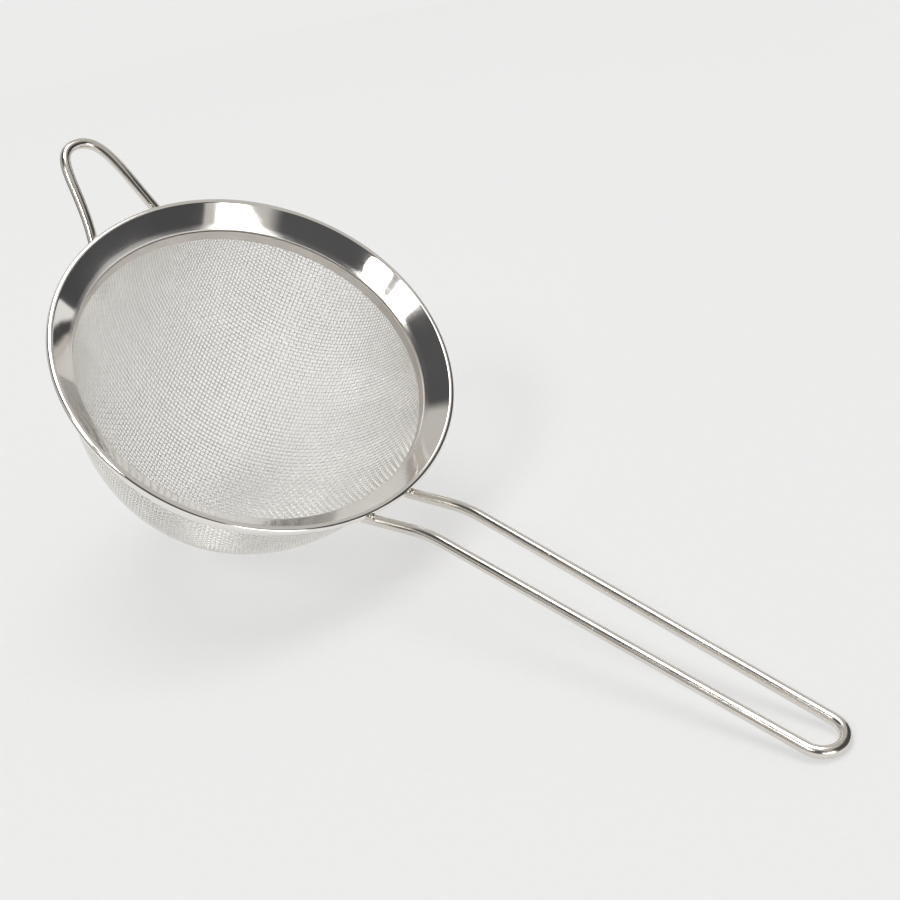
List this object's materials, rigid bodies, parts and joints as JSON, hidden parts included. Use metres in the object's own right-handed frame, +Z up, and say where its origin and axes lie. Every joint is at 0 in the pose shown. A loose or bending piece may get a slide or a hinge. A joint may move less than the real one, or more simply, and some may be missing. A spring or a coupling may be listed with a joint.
{
  "type": "tea strainer",
  "caption": "Fine-mesh tea strainer: woven bowl clamped in a polished flared rim, with a long wire loop handle and a wire hook opposite.",
  "frame": {"origin": "on the table surface, under the middle of the whole strainer's bounding box, with the strainer lying on the side of its bowl and the end of its handle", "axes": "+Z up from the table, +X towards the handle's end, Y across the strainer's plane of symmetry; the mouth's normal leans 37.8 degrees from +Z towards +X"},
  "size_m": [0.1728, 0.08, 0.0815],
  "materials": {
    "rim_polished": "mirror-polished stainless steel with fine hairline scratches",
    "band_matte": "matte pressed stainless steel with a faint print of the weave",
    "woven_wire": "bright drawn wire in plain weave",
    "wire_polished": "polished stainless wire with fine drawing marks",
    "weld": "cleaned weld metal, slightly rippled and dulled"
  },
  "bodies": {
    "root": {"rim_flange": "rim_polished", "clamp_band": "band_matte", "mesh_bowl": "woven_wire", "handle_wire": "wire_polished", "hook_wire": "wire_polished", "handle_weld_left": "weld", "handle_weld_right": "weld", "hook_weld_left": "weld", "hook_weld_right": "weld"}
  },
  "joints": []
}
